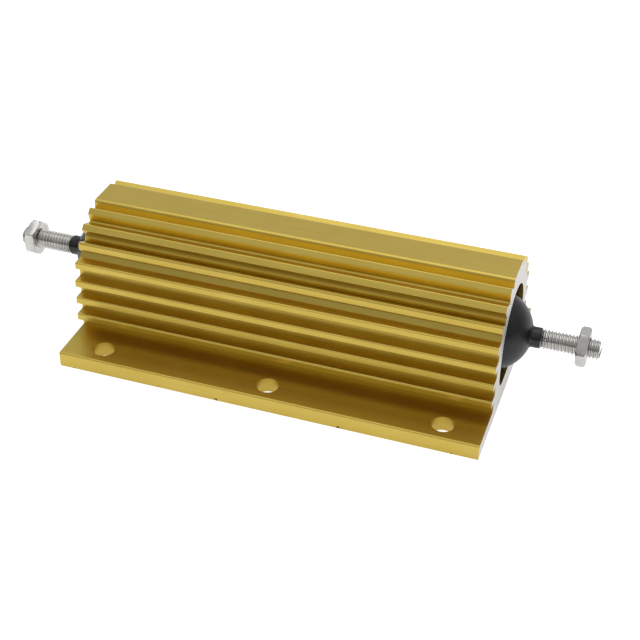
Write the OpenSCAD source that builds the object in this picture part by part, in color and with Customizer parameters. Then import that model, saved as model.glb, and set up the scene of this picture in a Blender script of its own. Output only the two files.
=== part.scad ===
// Aluminium housed power resistor for chassis mounting.
// +X runs along the terminals, +Z is up. The origin is on the mounting face, midway between the holes.
// All sizes are in millimetres.

/* [Housing] */
// Length of the sawn extrusion
body_l = 127.7; // [116:0.1:150]
// Width over both mounting flanges
body_w = 71; // [68:0.5:84]
// Height from the mounting face to the crown
body_h = 40.6; // [40:0.1:44]
// Width of the flat crown
crown_w = 11.2; // [9:0.2:11.6]
// Thickness of the mounting flanges
flange_t = 4.7; // [4:0.1:5.5]
// Radius on the edges of the crown
crown_r = 0.9; // [0.5:0.05:1]
// Half width of the body wall just above the flanges
wall_foot = 19.7; // [18.8:0.1:20.4]
// Half width of the body wall at the top side fin
wall_head = 18.3; // [17.8:0.1:19]
// Radius on the outer edges of flanges and fins
edge_r = 0.5; // [0.2:0.05:0.7]

/* [Side fins] */
// Thickness of a side fin
fin_t = 2.4; // [2:0.05:2.6]
// Open height between two side fins
fin_gap = 3.3; // [3:0.05:3.5]
// Reach of a side fin beyond the body wall
fin_reach = 3.2; // [1.5:0.1:4]
// Reach of the top side fin beyond the body wall
top_fin_reach = 2.5; // [1.5:0.1:4]

/* [Shoulder fins] */
// Reach of the upper shoulder fin's crest from its foot
upper_reach = 3; // [2:0.1:3.4]
// Rise of the upper shoulder fin's crest above its foot
upper_rise = 1.9; // [1.2:0.1:2.2]
// Reach of the lower shoulder fin's crest from its foot
lower_reach = 3.6; // [2.8:0.1:4]
// Rise of the lower shoulder fin's crest above its foot
lower_rise = 1.4; // [1:0.1:2]
// Size of the sloping nose of a shoulder fin, outwards and down
nose = 1.4; // [0.9:0.1:1.6]
// Radius on the corners of the shoulder fins
nose_r = 0.35; // [0.2:0.05:0.5]
// Depth of the groove just above the lower shoulder fin
foot_groove = 0.3; // [0.1:0.05:0.5]
// Reach of the wide ridge's crest from its foot
ridge_reach = 4.1; // [3.6:0.1:4.4]
// Rise of the wide ridge's crest above its foot
ridge_rise = 2.1; // [1.6:0.1:2.4]
// Height of the wide ridge's outer face
ridge_face = 2.4; // [1.6:0.1:2.6]
// Height of the bead on the wall above the wide ridge
bead_h = 1.6; // [1:0.1:1.8]
// How far that bead stands out
bead_t = 0.5; // [0.3:0.1:0.8]

/* [Bore] */
// Width of the arched bore
bore_w = 27.6; // [26:0.2:28.4]
// Height of the bore floor above the mounting face
bore_floor = 7; // [6:0.1:7.5]
// Height of the top of the arch above the mounting face
bore_top = 33.7; // [33:0.1:34.5]
// Radius of the two lower bore corners
bore_corner_r = 6; // [4:0.5:8]

/* [Mounting holes] */
// Diameter of the screw clearance holes
hole_d = 6.6; // [5:0.1:7]
// Distance of the outer holes from the ends of the housing
hole_end = 11.85; // [8:0.05:18]
// Distance of the holes from the edges of the flanges
hole_edge = 6; // [5:0.1:7]

/* [Resistive element] */
// Height of the element's axis above the mounting face
axis_h = 19.1; // [18.8:0.1:20.4]
// How far the element sits off the middle, towards the left end
element_shift = 1.7; // [0:0.1:2]
// Diameter of the moulding
moulding_d = 22.4; // [21:0.1:22.6]
// Radius of the ball-shaped ends of the moulding
dome_r = 11.83; // [11.4:0.01:13]
// Distance of the dome's crest from the middle of the element
dome_end = 71.5; // [70:0.1:74]
// Diameter of the neck around each terminal
neck_d = 6.1; // [6:0.1:8]
// Distance of the neck's end face from the middle of the element
neck_end = 74.1; // [73:0.1:77]
// How far the bore filling stays back from the ends of the housing
filling_recess = 3; // [2.2:0.1:8]

/* [Core and windings] */
// Diameter of the ceramic core
core_d = 14; // [10:0.5:15]
// Hole along the ceramic core
core_bore = 5; // [3:0.5:7]
// Length of the ceramic core
core_l = 100; // [80:1:104]
// Radial build of one layer of resistance wire
wire_t = 0.8; // [0.4:0.1:1]
// Insulation between the two opposed windings
layer_gap = 0.2; // [0.1:0.1:0.4]
// Sheet thickness of the end caps
cap_t = 0.8; // [0.5:0.1:1.2]
// Overlap of an end cap on the core
cap_overlap = 8; // [5:0.5:12]

/* [Terminals] */
// Outside diameter of the terminal thread
stud_d = 5.9; // [5:0.1:6]
// Diameter of the stud inside the moulding
shank_d = 4.8; // [4:0.1:4.9]
// Diameter of the stud's welded head
head_d = 10; // [8:0.5:12]
// Thickness of the stud's welded head
head_t = 1.5; // [1:0.1:2.5]
// Distance from the middle of the element to the stud's tip
stud_end = 91.05; // [88:0.05:98]
// Chamfer on the stud's tip
tip_chamfer = 0.6; // [0.2:0.1:1]
// Width of a terminal nut across its flats
nut_flats = 10; // [8:0.5:11]
// Thickness of a terminal nut
nut_t = 3; // [2.5:0.1:5]
// Thread standing out past the left nut
left_past_nut = 2.4; // [1:0.1:6]
// Thread standing out past the right nut
right_past_nut = 3.5; // [1:0.1:6]
// How far the left nut is turned about the stud
left_nut_turn = 52; // [0:1:60]
// How far the right nut is turned about the stud
right_nut_turn = 24; // [0:1:60]

/* [Hidden] */

$fn = 64;
cut = 1;
side_fins = 4;
fin_pitch = fin_t + fin_gap;
fin_tops = [for (i = [1 : side_fins]) flange_t + i * fin_pitch];
top_fin = fin_tops[side_fins - 1];
hole_x = body_l / 2 - hole_end;
hole_y = body_w / 2 - hole_edge;
bore_r = bore_w / 2;
arch_z = bore_top - bore_r;

// Feet of the shoulder fins and the ridge: distance from the middle, height above the top side fin
upper_foot = [5.9, 10.4];
lower_foot = [10, 7.9];
ridge_foot = [13.1, 3];
// Ends of the sloping wall under the ridge, on the same two measures
slope_head = [16.5, 1.5];
slope_foot = [17.5, 0];
// Wall just under the lower shoulder fin's nose
bead_head = [12.9, 5.2];
corner_steps = 4;

moulding_r = moulding_d / 2;
dome_middle = dome_end - dome_r;
dome_start = dome_middle + sqrt(dome_r * dome_r - moulding_r * moulding_r);
inner_r = core_d / 2 + wire_t;
outer_r = inner_r + layer_gap;
cap_r = outer_r + wire_t;
core_half = core_l / 2;
cap_end = core_half + cap_t;
cap_start = core_half - cap_overlap;
head_end = cap_end + head_t;

// ---- Housing ----

// Half width of the body wall at a height
function wall_at(z) = wall_foot + (wall_head - wall_foot) * (z - flange_t) / (top_fin - flange_t);

// Points of the arc that rounds corner b, which is [across, up, radius], between a and c
function rounded(a, b, c) =
    let (
        corner = [b.x, b.y],
        to_a = [a.x - b.x, a.y - b.y] / norm([a.x - b.x, a.y - b.y]),
        to_c = [c.x - b.x, c.y - b.y] / norm([c.x - b.x, c.y - b.y]),
        half = acos(to_a * to_c) / 2,
        start = corner + to_a * b.z / tan(half),
        end = corner + to_c * b.z / tan(half),
        middle = corner + (to_a + to_c) / norm(to_a + to_c) * b.z / sin(half),
        from = start - middle,
        to = end - middle,
        sweep = 180 - 2 * half
    )
    b.z == 0 ? [corner] : [
        for (i = [0 : corner_steps])
            middle
            + from * sin(sweep * (1 - i / corner_steps)) / sin(sweep)
            + to * sin(sweep * i / corner_steps) / sin(sweep)
    ];

// Outline through the corners, each with its own radius
function smooth_outline(corners) = [
    for (i = [0 : len(corners) - 1])
        each rounded(
            corners[(i + len(corners) - 1) % len(corners)],
            corners[i],
            corners[(i + 1) % len(corners)]
        )
];

// Four corners of a side fin, from its upper face and its reach
function side_fin(top, reach) = [
    [wall_at(top - fin_t), top - fin_t, 0],
    [wall_at(top - fin_t / 2) + reach, top - fin_t, edge_r],
    [wall_at(top - fin_t / 2) + reach, top, edge_r],
    [wall_at(top), top, 0]
];

// A corner of the shoulder, from its distance from the middle and its height above the top side fin
function shoulder(place, radius) = [place.x, top_fin + place.y, radius];

// A shoulder fin, from the lower end of its nose up to its crest and back to its foot
function shoulder_fin(foot, reach, rise) = [
    shoulder(foot + [reach + nose, rise - nose], nose_r),
    shoulder(foot + [reach, rise], nose_r),
    shoulder(foot, 0)
];

// The wide ridge, from the lower end of its outer face up to its crest and back to its foot
function ridge(foot) = [
    shoulder(foot + [ridge_reach + edge_r, ridge_rise - ridge_face], nose_r),
    shoulder(foot + [ridge_reach + edge_r, ridge_rise - edge_r], nose_r),
    shoulder(foot + [ridge_reach, ridge_rise], nose_r / 2),
    shoulder(foot, 0)
];

// The bead on the wall above the ridge, from a groove at its foot to the wall above it
function wall_bead(foot) = [
    shoulder(foot + [bead_t, foot_groove], nose_r / 2),
    shoulder(foot + [bead_t, bead_h], nose_r)
];

half_corners = [
    [body_w / 2, 0, 0],
    [body_w / 2, flange_t, edge_r],
    [wall_foot, flange_t, 0],
    each [for (i = [0 : side_fins - 1]) each side_fin(fin_tops[i], i < side_fins - 1 ? fin_reach : top_fin_reach)],
    shoulder(slope_foot, 0),
    shoulder(slope_head, 0),
    each ridge(ridge_foot),
    each wall_bead(ridge_foot),
    shoulder(bead_head, 0),
    each shoulder_fin(lower_foot, lower_reach, lower_rise),
    shoulder(lower_foot + [-foot_groove, foot_groove], 0),
    each shoulder_fin(upper_foot, upper_reach, upper_rise),
    [crown_w / 2, body_h, crown_r]
];

module outer_profile() {
    last = len(half_corners) - 1;
    polygon(smooth_outline([
        each half_corners,
        each [for (i = [last : -1 : 0]) [-half_corners[i].x, half_corners[i].y, half_corners[i].z]]
    ]));
}

module bore_profile() {
    intersection() {
        translate([0, arch_z]) circle(bore_r);
        translate([-bore_r, arch_z]) square([bore_w, bore_r]);
    }
    translate([-bore_r, bore_floor + bore_corner_r]) {
        square([bore_w, arch_z - bore_floor - bore_corner_r]);
    }
    for (side = [-1, 1]) {
        translate([side * (bore_r - bore_corner_r), bore_floor + bore_corner_r]) {
            circle(bore_corner_r);
        }
    }
    translate([bore_corner_r - bore_r, bore_floor]) {
        square([bore_w - 2 * bore_corner_r, arch_z - bore_floor]);
    }
}

// Extrudes a cross-section along X, from one place to another
module along_x(from, to) {
    translate([from, 0, 0]) rotate([90, 0, 90]) linear_extrude(to - from) children();
}

module housing() {
    color([0.72, 0.58, 0.27]) difference() {
        along_x(-body_l / 2, body_l / 2) {
            difference() {
                outer_profile();
                bore_profile();
            }
        }
        for (x = [-1, 0, 1], y = [-1, 1]) {
            translate([x * hole_x, y * hole_y, -cut]) {
                cylinder(d = hole_d, h = flange_t + 2 * cut);
            }
        }
    }
}

// ---- Resistive element ----

// Turns a half section about the element's axis: x is the radius, y runs along the axis
module about_axis() {
    translate([-element_shift, 0, axis_h]) rotate([0, 90, 0]) rotate_extrude() children();
}

// A tube between two places on the axis
module tube_section(inside, outside, from, to) {
    translate([inside, from]) square([outside - inside, to - from]);
}

module bore_filling() {
    reach = body_l / 2 - filling_recess;
    color([0.1, 0.1, 0.1]) along_x(-reach, reach) {
        difference() {
            bore_profile();
            translate([0, axis_h]) circle(moulding_r);
        }
    }
}

module dome_section() {
    intersection() {
        translate([0, dome_middle]) circle(dome_r);
        translate([0, dome_middle]) square([moulding_r, moulding_r]);
    }
    tube_section(0, neck_d / 2, dome_middle, neck_end);
}

module moulding() {
    color([0.12, 0.12, 0.13]) about_axis() {
        difference() {
            union() {
                tube_section(0, moulding_r, -dome_start, dome_start);
                dome_section();
                mirror([0, 1]) dome_section();
            }
            tube_section(0, cap_r, -cap_end, cap_end);
            tube_section(0, head_d / 2, -head_end, head_end);
            tube_section(0, shank_d / 2, -neck_end - cut, neck_end + cut);
        }
    }
}

module ceramic_core() {
    color([0.93, 0.91, 0.86]) about_axis() {
        tube_section(core_bore / 2, core_d / 2, -core_half, core_half);
    }
}

module winding_inner() {
    color([0.62, 0.6, 0.57]) about_axis() {
        tube_section(core_d / 2, inner_r, -cap_start, cap_start);
    }
}

module winding_insulation() {
    color([0.85, 0.8, 0.65]) about_axis() {
        tube_section(inner_r, outer_r, -cap_start, cap_start);
    }
}

module winding_outer() {
    color([0.62, 0.6, 0.57]) about_axis() {
        tube_section(outer_r, cap_r, -cap_start, cap_start);
    }
}

// Half section of the cup pressed on an end of the core
module cap_section() {
    tube_section(core_d / 2, cap_r, cap_start, core_half);
    tube_section(0, cap_r, core_half, cap_end);
}

module end_cap_left() {
    color([0.75, 0.75, 0.74]) about_axis() mirror([0, 1]) cap_section();
}

module end_cap_right() {
    color([0.75, 0.75, 0.74]) about_axis() cap_section();
}

// ---- Terminals ----

module stud_section() {
    polygon([
        [0, cap_end],
        [head_d / 2, cap_end],
        [head_d / 2, head_end],
        [shank_d / 2, head_end],
        [shank_d / 2, neck_end],
        [stud_d / 2, neck_end],
        [stud_d / 2, stud_end - tip_chamfer],
        [stud_d / 2 - tip_chamfer, stud_end],
        [0, stud_end]
    ]);
}

module terminal_stud_left() {
    color([0.86, 0.86, 0.84]) about_axis() mirror([0, 1]) stud_section();
}

module terminal_stud_right() {
    color([0.86, 0.86, 0.84]) about_axis() stud_section();
}

// Hexagon nut on the stud, from its inner face outwards
module nut(inner_face, turn) {
    translate([inner_face - element_shift, 0, axis_h]) rotate([0, 90, 0]) difference() {
        rotate([0, 0, turn]) cylinder(d = nut_flats / cos(30), h = nut_t, $fn = 6);
        translate([0, 0, -cut]) cylinder(d = stud_d, h = nut_t + 2 * cut);
    }
}

module terminal_nut_left() {
    color([0.86, 0.86, 0.84]) nut(left_past_nut - stud_end, left_nut_turn);
}

module terminal_nut_right() {
    color([0.86, 0.86, 0.84]) nut(stud_end - right_past_nut - nut_t, right_nut_turn);
}

housing();
bore_filling();
moulding();
ceramic_core();
winding_inner();
winding_insulation();
winding_outer();
end_cap_left();
end_cap_right();
terminal_stud_left();
terminal_stud_right();
terminal_nut_left();
terminal_nut_right();
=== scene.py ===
"""Aluminium housed power resistor: finishes, threads, nuts, light and camera."""
import math

import bpy
from mathutils import Matrix, Vector


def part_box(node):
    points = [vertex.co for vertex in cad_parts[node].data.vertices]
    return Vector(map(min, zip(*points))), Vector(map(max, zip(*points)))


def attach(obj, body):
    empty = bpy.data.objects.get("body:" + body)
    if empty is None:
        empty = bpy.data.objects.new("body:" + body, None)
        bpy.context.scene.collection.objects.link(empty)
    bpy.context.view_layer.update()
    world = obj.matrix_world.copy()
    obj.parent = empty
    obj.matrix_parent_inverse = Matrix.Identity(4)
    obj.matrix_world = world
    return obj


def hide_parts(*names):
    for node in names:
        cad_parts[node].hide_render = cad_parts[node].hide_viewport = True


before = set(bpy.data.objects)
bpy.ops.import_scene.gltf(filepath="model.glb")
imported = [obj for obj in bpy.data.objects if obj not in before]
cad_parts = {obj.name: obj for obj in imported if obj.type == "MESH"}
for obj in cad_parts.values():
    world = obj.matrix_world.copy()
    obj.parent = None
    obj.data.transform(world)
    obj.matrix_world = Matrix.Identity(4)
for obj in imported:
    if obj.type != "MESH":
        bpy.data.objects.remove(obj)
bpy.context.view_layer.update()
scene = bpy.context.scene
MM = 0.001

# Places taken from the frame, in metres
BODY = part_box("housing")
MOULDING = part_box("moulding")
STUDS = {"left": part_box("terminal_stud_left"), "right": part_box("terminal_stud_right")}
NUTS = {"left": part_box("terminal_nut_left"), "right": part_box("terminal_nut_right")}
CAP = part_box("end_cap_right")
AXIS_HEIGHT = (MOULDING[0][2] + MOULDING[1][2]) / 2
ELEMENT_MIDDLE = (MOULDING[0][0] + MOULDING[1][0]) / 2

# Moulding, with lengths measured from its middle
NECK_END = (MOULDING[1][0] - MOULDING[0][0]) / 2
NECK_RADIUS = 3.05 * MM
NECK_CHAMFER = 0.25 * MM
NECK_FILLET = 0.4 * MM
NECK_LENGTH = 2.9 * MM
DOME_RADIUS = 11.83 * MM
DOME_MIDDLE = NECK_END - 14.43 * MM
MOULDING_RADIUS = (MOULDING[1][1] - MOULDING[0][1]) / 2

# Hollow of the moulding, filled by the end caps and the studs' heads
CAP_END = CAP[1][0] - ELEMENT_MIDDLE
CAP_RADIUS = (CAP[1][1] - CAP[0][1]) / 2
HEAD_RADIUS = (STUDS["right"][1][1] - STUDS["right"][0][1]) / 2
HEAD_THICK = 1.5 * MM
HEAD_END = CAP_END + HEAD_THICK

# M6 studs
STUD_RADIUS = 2.95 * MM
STUD_CHAMFER = 0.6 * MM
STUD_FOOT_CHAMFER = 0.2 * MM
SHANK_RADIUS = 2.4 * MM
SHANK_OVERLAP = 1.5 * MM
THREAD_PITCH = 1.0 * MM
THREAD_DEPTH = 0.55 * MM
THREAD_FLANKS = (0.10, 0.43, 0.57, 0.90)  # where the flanks start and end, in pitches
THREAD_START = 1.25  # where the bar is cut, in pitches above the first turn
SPARE_TURNS = 4

# Thin hexagon nuts
NUT_FLATS = 10.0 * MM
NUT_CHAMFER = 0.55 * MM
NUT_EDGE = 0.1 * MM
NUT_CLEARANCE = 0.02 * MM
NUT_TURNS = {"left": 52, "right": 24}  # degrees about the stud

# Steps round a full turn, and along the dome's arc
ROUND_STEPS = 64
MOULDING_STEPS = 96
THREAD_STEPS = 40
DOME_STEPS = 28

# Mesh clean-up
SMOOTH_ANGLE = math.radians(28)
BEVEL_ANGLE = math.radians(35)
WELD_DISTANCE = 0.002 * MM
SEAM_DISTANCE = 0.001 * MM

# Colours
GOLD = (0.73, 0.56, 0.135)
GOLD_DEEP = (0.66, 0.485, 0.10)
BARE_METAL = (0.86, 0.83, 0.81)
BARE_METAL_DARK = tuple(0.9 * part for part in BARE_METAL)
NICK_BROWN = (0.12, 0.08, 0.04)
BLACK = (0.008, 0.008, 0.009)
BLACK_WORN = (0.014, 0.014, 0.015)

# Where the housing's finish changes
SAWN_DEPTH = 0.02 * MM
NICK_HEIGHT = 0.7 * MM
NICK_RARITY = 0.68
BUMP_DISTANCE = 0.05 * MM
PLAIN_BUMP_DISTANCE = 0.04 * MM

# Studio: each sky ramp runs from one direction to another, then from one strength to another
FLOOR_SIZE = 6
FLOOR_GAP = 0.05 * MM
FLOOR_SEEN = 0.75
FLOOR_MIRRORED = 0.42
SKY_ABOVE = (0.05, 0.9, 0.14, 0.66)
SKY_BEHIND = (0.1, 0.6, 0.10, 0.58)
SOFTBOX_PLACE = Vector((-0.1, 0.2, 0.9))
SOFTBOX_TARGET = Vector((0, 0, 0.02))
SOFTBOX_SIDE = 0.9
SOFTBOX_POWER = 1.6
WHITE = (1, 1, 1, 1)
FLOOR_GREY = (0.86, 0.86, 0.86, 1)

CAMERA_PLACE = Vector((0.1084, -0.3098, 0.2389))
CAMERA_TARGET = Vector((0.0058, 0.0, 0.0096))
CAMERA_ROLL = 0.87  # degrees
CAMERA_LENS = 74.3
CAMERA_SENSOR = 36


# ---- Node helpers ----

def new_material(name):
    """A material with an empty tree holding one Principled shader."""
    material = bpy.data.materials.new(name)
    material.use_nodes = True
    tree = material.node_tree
    tree.nodes.clear()
    output = tree.nodes.new("ShaderNodeOutputMaterial")
    shader = tree.nodes.new("ShaderNodeBsdfPrincipled")
    tree.links.new(shader.outputs["BSDF"], output.inputs["Surface"])
    return material, tree, shader


def fill_input(tree, socket, value):
    """Link another node's output to an input, or set the input to a value."""
    if isinstance(value, bpy.types.NodeSocket):
        tree.links.new(value, socket)
    else:
        socket.default_value = value


def place_node(tree, kind, inputs=None, **settings):
    """Add a node, set its properties and fill or link its inputs."""
    node = tree.nodes.new(kind)
    for key, value in settings.items():
        setattr(node, key, value)
    for key, value in (inputs or {}).items():
        fill_input(tree, node.inputs[key], value)
    return node


def math_node(tree, operation, first, second=0.0):
    node = place_node(tree, "ShaderNodeMath", {0: first, 1: second}, operation=operation)
    return node.outputs[0]


def mix_colour(tree, factor, first, second):
    node = place_node(tree, "ShaderNodeMix", {"Factor": factor}, data_type="RGBA")
    for socket, value in ((node.inputs[6], first), (node.inputs[7], second)):
        fill_input(tree, socket, (*value, 1) if isinstance(value, tuple) else value)
    return node.outputs[2]


def mix_value(tree, factor, first, second):
    node = place_node(tree, "ShaderNodeMix", {"Factor": factor, 2: first, 3: second},
                      data_type="FLOAT")
    return node.outputs[0]


def object_place(tree):
    """Object coordinates in metres, as separate X, Y and Z."""
    place = place_node(tree, "ShaderNodeTexCoord").outputs["Object"]
    return place_node(tree, "ShaderNodeSeparateXYZ", {"Vector": place}).outputs


def object_coordinates(tree, scale=(1, 1, 1)):
    """Object coordinates in millimetres, stretched by the given scale."""
    place = place_node(tree, "ShaderNodeTexCoord")
    return place_node(tree, "ShaderNodeMapping", {
        "Vector": place.outputs["Object"],
        "Scale": tuple(1000 * s for s in scale),
    }).outputs["Vector"]


def noise(tree, vector, scale, detail=3.0, roughness=0.5):
    return place_node(tree, "ShaderNodeTexNoise", {
        "Vector": vector, "Scale": scale, "Detail": detail, "Roughness": roughness,
    }).outputs["Fac"]


def ramp(tree, value, low, high, out_low=0.0, out_high=1.0):
    return place_node(tree, "ShaderNodeMapRange", {
        "Value": value, "From Min": low, "From Max": high, "To Min": out_low, "To Max": out_high,
    }).outputs["Result"]


def add_bump(tree, shader, height, strength, distance):
    bump = place_node(tree, "ShaderNodeBump", {
        "Height": height, "Strength": strength, "Distance": distance,
    })
    tree.links.new(bump.outputs["Normal"], shader.inputs["Normal"])


# ---- Shared effects ----

def make_group(name, inputs, outputs):
    group = bpy.data.node_groups.new(name, "ShaderNodeTree")
    for label, default in inputs.items():
        socket = group.interface.new_socket(label, in_out="INPUT", socket_type="NodeSocketFloat")
        socket.default_value = default
    for label in outputs:
        group.interface.new_socket(label, in_out="OUTPUT", socket_type="NodeSocketFloat")
    return group, group.nodes.new("NodeGroupInput"), group.nodes.new("NodeGroupOutput")


def build_surface_grain():
    """Fine grain and slow mottling on any surface, both from 0 to 1."""
    group, given, result = make_group(
        "surface_grain", {"Grain Scale": 4.0, "Mottle Scale": 0.12}, ["Grain", "Mottle"])
    place = object_coordinates(group)
    grain = noise(group, place, given.outputs["Grain Scale"], 2.0, 0.6)
    mottle = noise(group, place, given.outputs["Mottle Scale"], 3.0, 0.55)
    group.links.new(grain, result.inputs["Grain"])
    group.links.new(ramp(group, mottle, 0.3, 0.7), result.inputs["Mottle"])
    return group


def build_draw_lines():
    """Long faint die lines that an extrusion keeps along X."""
    group, given, result = make_group("draw_lines", {"Line Scale": 2.2}, ["Lines"])
    place = object_coordinates(group, (0.012, 1, 1))
    lines = noise(group, place, given.outputs["Line Scale"], 4.0, 0.65)
    group.links.new(ramp(group, lines, 0.32, 0.68), result.inputs["Lines"])
    return group


SURFACE_GRAIN = build_surface_grain()
DRAW_LINES = build_draw_lines()


def use_group(tree, group, **values):
    node = tree.nodes.new("ShaderNodeGroup")
    node.node_tree = group
    for label, value in values.items():
        node.inputs[label.replace("_", " ")].default_value = value
    return node.outputs


# ---- Finishes ----

def anodised_housing():
    """Gold anodising with die lines, and bare sawn metal on both end faces."""
    material, tree, shader = new_material("anodised_housing")
    grain = use_group(tree, SURFACE_GRAIN, Grain_Scale=5.0, Mottle_Scale=0.09)
    lines = use_group(tree, DRAW_LINES)["Lines"]
    place = object_place(tree)
    from_middle = math_node(tree, "ABSOLUTE", place["X"])
    end_face = math_node(tree, "GREATER_THAN", from_middle, BODY[1][0] - SAWN_DEPTH)

    tone = math_node(tree, "MULTIPLY", grain["Mottle"], lines)
    gold = mix_colour(tree, tone, GOLD_DEEP, GOLD)
    saw = ramp(tree, noise(tree, object_coordinates(tree, (1, 1, 0.08)), 3.0), 0.35, 0.65)
    bare = mix_colour(tree, saw, BARE_METAL_DARK, BARE_METAL)
    near_edge = math_node(tree, "LESS_THAN", place["Z"], NICK_HEIGHT)
    spots = noise(tree, object_coordinates(tree), 0.35)
    nick_spots = math_node(tree, "GREATER_THAN", spots, NICK_RARITY)
    nicks = math_node(tree, "MULTIPLY", near_edge, nick_spots)
    outside = mix_colour(tree, nicks, gold, NICK_BROWN)
    colour = mix_colour(tree, end_face, outside, bare)
    tree.links.new(colour, shader.inputs["Base Color"])
    shader.inputs["Metallic"].default_value = 1.0

    satin = ramp(tree, grain["Grain"], 0.0, 1.0, 0.27, 0.37)
    sawn = ramp(tree, saw, 0.0, 1.0, 0.42, 0.55)
    tree.links.new(mix_value(tree, end_face, satin, sawn), shader.inputs["Roughness"])
    height = math_node(tree, "ADD", math_node(tree, "MULTIPLY", lines, 0.6), grain["Grain"])
    add_bump(tree, shader, height, 0.08, BUMP_DISTANCE)
    return material


def black_moulding():
    """Satin black moulding that turns glossy on the neck round each stud."""
    material, tree, shader = new_material("black_moulding")
    grain = use_group(tree, SURFACE_GRAIN, Grain_Scale=3.0, Mottle_Scale=0.2)
    colour = mix_colour(tree, grain["Mottle"], BLACK, BLACK_WORN)
    tree.links.new(colour, shader.inputs["Base Color"])
    along = math_node(tree, "SUBTRACT", object_place(tree)["X"], ELEMENT_MIDDLE)
    from_middle = math_node(tree, "ABSOLUTE", along)
    neck = math_node(tree, "GREATER_THAN", from_middle, NECK_END - NECK_LENGTH)
    satin = ramp(tree, grain["Grain"], 0.0, 1.0, 0.30, 0.42)
    tree.links.new(mix_value(tree, neck, satin, 0.12), shader.inputs["Roughness"])
    add_bump(tree, shader, grain["Grain"], 0.15, BUMP_DISTANCE)
    return material


def plain_finish(name, dark, light, rough, metallic=0.0, bump=0.1):
    """A finish with mottled colour, grainy gloss and a fine bump."""
    material, tree, shader = new_material(name)
    grain = use_group(tree, SURFACE_GRAIN, Grain_Scale=4.0, Mottle_Scale=0.3)
    tree.links.new(mix_colour(tree, grain["Mottle"], dark, light), shader.inputs["Base Color"])
    tree.links.new(ramp(tree, grain["Grain"], 0.0, 1.0, *rough), shader.inputs["Roughness"])
    shader.inputs["Metallic"].default_value = metallic
    add_bump(tree, shader, grain["Grain"], bump, PLAIN_BUMP_DISTANCE)
    return material


# Dark tone, light tone, least and most roughness, and 1 for a metal
STUD_NICKEL = ((0.60, 0.585, 0.56), (0.72, 0.71, 0.69), (0.16, 0.30), 1.0)
NUT_NICKEL = ((0.62, 0.61, 0.59), (0.74, 0.73, 0.71), (0.20, 0.32), 1.0)
CEMENT = ((0.012, 0.012, 0.011), (0.03, 0.028, 0.025), (0.7, 0.9))
CERAMIC = ((0.72, 0.70, 0.65), (0.84, 0.82, 0.77), (0.6, 0.8))
GLASS_TAPE = ((0.6, 0.55, 0.42), (0.75, 0.7, 0.55), (0.6, 0.8))
WIRE = ((0.35, 0.33, 0.30), (0.5, 0.48, 0.45), (0.3, 0.45), 1.0)
CAP_STEEL = ((0.55, 0.55, 0.54), (0.68, 0.68, 0.67), (0.25, 0.4), 1.0)

nickel = plain_finish("bright_nickel", *STUD_NICKEL)
nut_nickel = plain_finish("nut_nickel", *NUT_NICKEL)
FINISHES = {
    "housing": anodised_housing(),
    "moulding": black_moulding(),
    "bore_filling": plain_finish("bore_cement", *CEMENT, bump=0.6),
    "ceramic_core": plain_finish("core_ceramic", *CERAMIC),
    "winding_inner": plain_finish("inner_wire", *WIRE),
    "winding_insulation": plain_finish("glass_tape", *GLASS_TAPE),
    "winding_outer": plain_finish("outer_wire", *WIRE),
    "end_cap_left": plain_finish("cap_steel_left", *CAP_STEEL),
    "end_cap_right": plain_finish("cap_steel_right", *CAP_STEEL),
}


def dress_frame():
    """Give every node that stays in view its finish."""
    for name, material in FINISHES.items():
        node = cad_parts[name]
        if not node.material_slots:
            node.data.materials.append(material)
        for slot in node.material_slots:
            slot.material = material


# ---- Modelling helpers ----

def deselect():
    if bpy.context.mode != "OBJECT":
        bpy.ops.object.mode_set(mode="OBJECT")
    bpy.ops.object.select_all(action="DESELECT")


def pick(piece):
    deselect()
    bpy.context.view_layer.objects.active = piece
    piece.select_set(True)


def apply_modifier(piece, kind, **settings):
    modifier = piece.modifiers.new(kind.lower(), kind)
    for key, value in settings.items():
        setattr(modifier, key, value)
    pick(piece)
    bpy.ops.object.modifier_apply(modifier=modifier.name)


def combine(piece, tool, operation):
    """Join, cut or limit a piece with a tool, and use the tool up."""
    apply_modifier(piece, "BOOLEAN", object=tool, operation=operation, solver="EXACT")
    bpy.data.objects.remove(tool, do_unlink=True)


def finish_piece(piece, name, material, place, stands_for):
    """Put a piece in its place in the frame with its finish, and hide the node it stands for."""
    piece.name = name
    piece.data.name = name
    piece.data.transform(place @ piece.matrix_world)
    piece.matrix_world = Matrix()
    piece.data.materials.clear()
    piece.data.materials.append(material)
    pick(piece)
    bpy.ops.object.shade_smooth_by_angle(angle=SMOOTH_ANGLE)
    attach(piece, "root")
    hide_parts(stands_for)


def along_axis(place, way=1):
    """Lay what stands on the Z axis along X on the studs' axis, pointing right or left."""
    return Matrix.Translation((place, 0, AXIS_HEIGHT)) @ Matrix.Rotation(
        math.radians(90 * way), 4, "Y")


def draw_outline(points):
    """A chain of edges through (radius, height) points, beside the Z axis."""
    deselect()
    bpy.ops.mesh.primitive_plane_add(size=MM, location=(0, 0, 0))
    chain = bpy.context.object
    bpy.ops.object.mode_set(mode="EDIT")
    bpy.ops.mesh.select_mode(type="VERT")
    bpy.ops.mesh.select_all(action="SELECT")
    bpy.ops.mesh.merge(type="CENTER")
    bpy.ops.transform.translate(value=(points[0][0], 0, points[0][1]))
    for here, there in zip(points, points[1:]):
        bpy.ops.mesh.extrude_region_move(TRANSFORM_OT_translate={
            "value": (there[0] - here[0], 0, there[1] - here[1]),
        })
    bpy.ops.object.mode_set(mode="OBJECT")
    return chain


def weld(piece):
    """Merge doubled points and turn the faces outwards."""
    pick(piece)
    bpy.ops.object.mode_set(mode="EDIT")
    bpy.ops.mesh.select_all(action="SELECT")
    bpy.ops.mesh.remove_doubles(threshold=WELD_DISTANCE)
    bpy.ops.mesh.normals_make_consistent(inside=False)
    bpy.ops.object.mode_set(mode="OBJECT")


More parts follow.
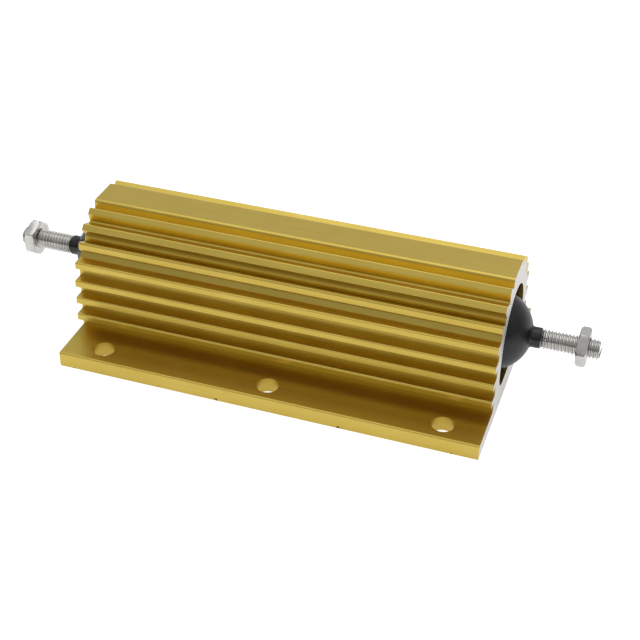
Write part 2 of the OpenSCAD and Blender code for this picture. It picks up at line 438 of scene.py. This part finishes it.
def sweep(chain, steps, rise=0.0, turns=1):
    """Turn a chain about the Z axis, rising by the same amount each turn."""
    apply_modifier(chain, "SCREW", axis="Z", angle=2 * math.pi, screw_offset=rise,
                   iterations=turns, steps=steps, render_steps=steps,
                   use_merge_vertices=rise == 0, merge_threshold=SEAM_DISTANCE)
    weld(chain)
    return chain


def round_bar(radius, start, end, start_chamfer, end_chamfer):
    """A round bar on the Z axis with a chamfer on each end."""
    return sweep(draw_outline([
        (0, start),
        (radius - start_chamfer, start),
        (radius, start + start_chamfer),
        (radius, end - end_chamfer),
        (radius - end_chamfer, end),
        (0, end),
    ]), ROUND_STEPS)


# ---- Moulding ----

def arc(middle, radius, start, end, steps):
    """Points of an arc about a place on the axis, with angles measured from the axis."""
    angles = [math.radians(start + (end - start) * i / steps) for i in range(steps + 1)]
    return [(radius * math.sin(a), middle + radius * math.cos(a)) for a in angles]


def moulding_half():
    """Outline of one half of the moulding: neck, ball-shaped end and straight middle."""
    neck = NECK_RADIUS
    neck_foot = DOME_MIDDLE + math.sqrt(DOME_RADIUS ** 2 - neck ** 2)
    first = math.degrees(math.asin((neck + NECK_FILLET) / DOME_RADIUS))
    last = math.degrees(math.asin(MOULDING_RADIUS / DOME_RADIUS))
    return [
        (SHANK_RADIUS, NECK_END),
        (neck - NECK_CHAMFER, NECK_END),
        (neck, NECK_END - NECK_CHAMFER),
        (neck, neck_foot + NECK_FILLET),
        (neck + 0.3 * NECK_FILLET, neck_foot + 0.3 * NECK_FILLET),
    ] + arc(DOME_MIDDLE, DOME_RADIUS, first, last, DOME_STEPS)


def make_moulding():
    """The moulded coat, hollow where the caps, the heads and the shanks sit."""
    outside = moulding_half()
    inside = [
        (SHANK_RADIUS, HEAD_END),
        (HEAD_RADIUS, HEAD_END),
        (HEAD_RADIUS, CAP_END),
        (CAP_RADIUS, CAP_END),
    ]
    back = [(radius, -along) for radius, along in reversed(outside)]
    hollow = [(radius, -along) for radius, along in inside] + list(reversed(inside))
    outline = outside + back + hollow + outside[:1]
    body = sweep(draw_outline(outline), MOULDING_STEPS)
    finish_piece(body, "moulding_body", FINISHES["moulding"], along_axis(ELEMENT_MIDDLE),
                 "moulding")


# ---- Studs and nuts ----

def threaded_bar(length):
    """A bar with its thread, cut square at both ends."""
    pitch = THREAD_PITCH
    root = STUD_RADIUS - THREAD_DEPTH
    rise_start, rise_end, fall_start, fall_end = (share * pitch for share in THREAD_FLANKS)
    bar = sweep(draw_outline([
        (root, 0),
        (root, rise_start),
        (STUD_RADIUS, rise_end),
        (STUD_RADIUS, fall_start),
        (root, fall_end),
        (root, pitch),
    ]), THREAD_STEPS, pitch, int(length / pitch) + SPARE_TURNS)
    start = THREAD_START * pitch
    pick(bar)
    bpy.ops.object.mode_set(mode="EDIT")
    for height, keep_above in ((start, True), (start + length, False)):
        bpy.ops.mesh.select_all(action="SELECT")
        bpy.ops.mesh.bisect(plane_co=(0, 0, height), plane_no=(0, 0, 1), use_fill=True,
                            clear_inner=keep_above, clear_outer=not keep_above)
    bpy.ops.mesh.select_all(action="SELECT")
    bpy.ops.transform.translate(value=(0, 0, -start))
    bpy.ops.object.mode_set(mode="OBJECT")
    weld(bar)
    return bar


def make_stud(side):
    """A stud: welded head and smooth shank in the moulding, chamfered thread outside it."""
    low, high = STUDS[side]
    if side == "right":
        way, tip, head, foot = 1, high[0], low[0], MOULDING[1][0]
    else:
        way, tip, head, foot = -1, -low[0], -high[0], -MOULDING[0][0]
    length = tip - foot
    stud = threaded_bar(length)
    limit = round_bar(STUD_RADIUS, 0, length, STUD_FOOT_CHAMFER, STUD_CHAMFER)
    combine(stud, limit, "INTERSECT")
    inner = sweep(draw_outline([
        (0, head - foot),
        (HEAD_RADIUS, head - foot),
        (HEAD_RADIUS, head - foot + HEAD_THICK),
        (SHANK_RADIUS, head - foot + HEAD_THICK),
        (SHANK_RADIUS, SHANK_OVERLAP),
        (0, SHANK_OVERLAP),
    ]), ROUND_STEPS)
    combine(stud, inner, "UNION")
    weld(stud)
    finish_piece(stud, "threaded_stud_" + side, nickel, along_axis(way * foot, way),
                 "terminal_stud_" + side)


def make_nut(side):
    """A thin hexagon nut with chamfered corners."""
    low, high = NUTS[side]
    thick = high[0] - low[0]
    corner = NUT_FLATS / 2 / math.cos(math.pi / 6)
    deselect()
    bpy.ops.mesh.primitive_cylinder_add(
        vertices=6, radius=corner, depth=thick, location=(0, 0, thick / 2),
        rotation=(0, 0, math.radians(30 + NUT_TURNS[side])))
    nut = bpy.context.object
    combine(nut, round_bar(corner, 0, thick, NUT_CHAMFER, NUT_CHAMFER), "INTERSECT")
    bore = round_bar(STUD_RADIUS + NUT_CLEARANCE, -thick, 2 * thick, NUT_EDGE, NUT_EDGE)
    combine(nut, bore, "DIFFERENCE")
    weld(nut)
    apply_modifier(nut, "BEVEL", width=NUT_EDGE, segments=2, limit_method="ANGLE",
                   angle_limit=BEVEL_ANGLE)
    finish_piece(nut, "hex_nut_" + side, nut_nickel, along_axis(low[0]),
                 "terminal_nut_" + side)


# ---- Stage, light and camera ----

def make_floor():
    """A pale floor that looks white itself and in the metal."""
    deselect()
    bpy.ops.mesh.primitive_plane_add(size=FLOOR_SIZE, location=(0, 0, -FLOOR_GAP))
    floor = bpy.context.object
    floor.name = "studio_floor"
    material, tree, shader = new_material("studio_floor")
    shader.inputs["Base Color"].default_value = FLOOR_GREY
    shader.inputs["Roughness"].default_value = 0.9
    path = place_node(tree, "ShaderNodeLightPath").outputs
    seen = math_node(tree, "MULTIPLY", path["Is Camera Ray"], FLOOR_SEEN)
    mirrored = math_node(tree, "MULTIPLY", path["Is Glossy Ray"], FLOOR_MIRRORED)
    tree.links.new(math_node(tree, "ADD", seen, mirrored), shader.inputs["Emission Strength"])
    shader.inputs["Emission Color"].default_value = WHITE
    floor.data.materials.append(material)


def make_world():
    """Soft light from above and behind, fading to a dim room in front."""
    world = bpy.data.worlds.new("studio")
    scene.world = world
    world.use_nodes = True
    tree = world.node_tree
    tree.nodes.clear()
    path = place_node(tree, "ShaderNodeLightPath").outputs
    place = place_node(tree, "ShaderNodeTexCoord").outputs["Generated"]
    towards = place_node(tree, "ShaderNodeSeparateXYZ", {"Vector": place}).outputs
    above = ramp(tree, towards["Z"], *SKY_ABOVE)
    behind = ramp(tree, towards["Y"], *SKY_BEHIND)
    light = place_node(tree, "ShaderNodeBackground", {
        "Color": WHITE, "Strength": math_node(tree, "MAXIMUM", above, behind),
    })
    white = place_node(tree, "ShaderNodeBackground", {"Color": WHITE, "Strength": 1.0})
    mix = place_node(tree, "ShaderNodeMixShader", {
        0: path["Is Camera Ray"], 1: light.outputs[0], 2: white.outputs[0],
    })
    output = tree.nodes.new("ShaderNodeOutputWorld")
    tree.links.new(mix.outputs[0], output.inputs["Surface"])


def make_softbox():
    """A large square softbox high above the part."""
    lamp = bpy.data.lights.new("top_softbox", "AREA")
    lamp.shape = "RECTANGLE"
    lamp.size = lamp.size_y = SOFTBOX_SIDE
    lamp.energy = SOFTBOX_POWER
    box = bpy.data.objects.new("top_softbox", lamp)
    scene.collection.objects.link(box)
    aim = (SOFTBOX_TARGET - SOFTBOX_PLACE).to_track_quat("-Z", "Y").to_matrix().to_4x4()
    box.matrix_world = Matrix.Translation(SOFTBOX_PLACE) @ aim


def make_camera():
    camera = bpy.data.objects.new("camera", bpy.data.cameras.new("camera"))
    scene.collection.objects.link(camera)
    camera.data.sensor_width = CAMERA_SENSOR
    camera.data.lens = CAMERA_LENS
    camera.data.clip_start = 0.01
    aim = (CAMERA_TARGET - CAMERA_PLACE).to_track_quat("-Z", "Y").to_matrix().to_4x4()
    roll = Matrix.Rotation(math.radians(CAMERA_ROLL), 4, "Z")
    camera.matrix_world = Matrix.Translation(CAMERA_PLACE) @ aim @ roll
    scene.camera = camera


scene.view_settings.view_transform = "Standard"
make_camera()
dress_frame()
make_moulding()
for end in ("left", "right"):
    make_stud(end)
    make_nut(end)
make_floor()
make_world()
make_softbox()
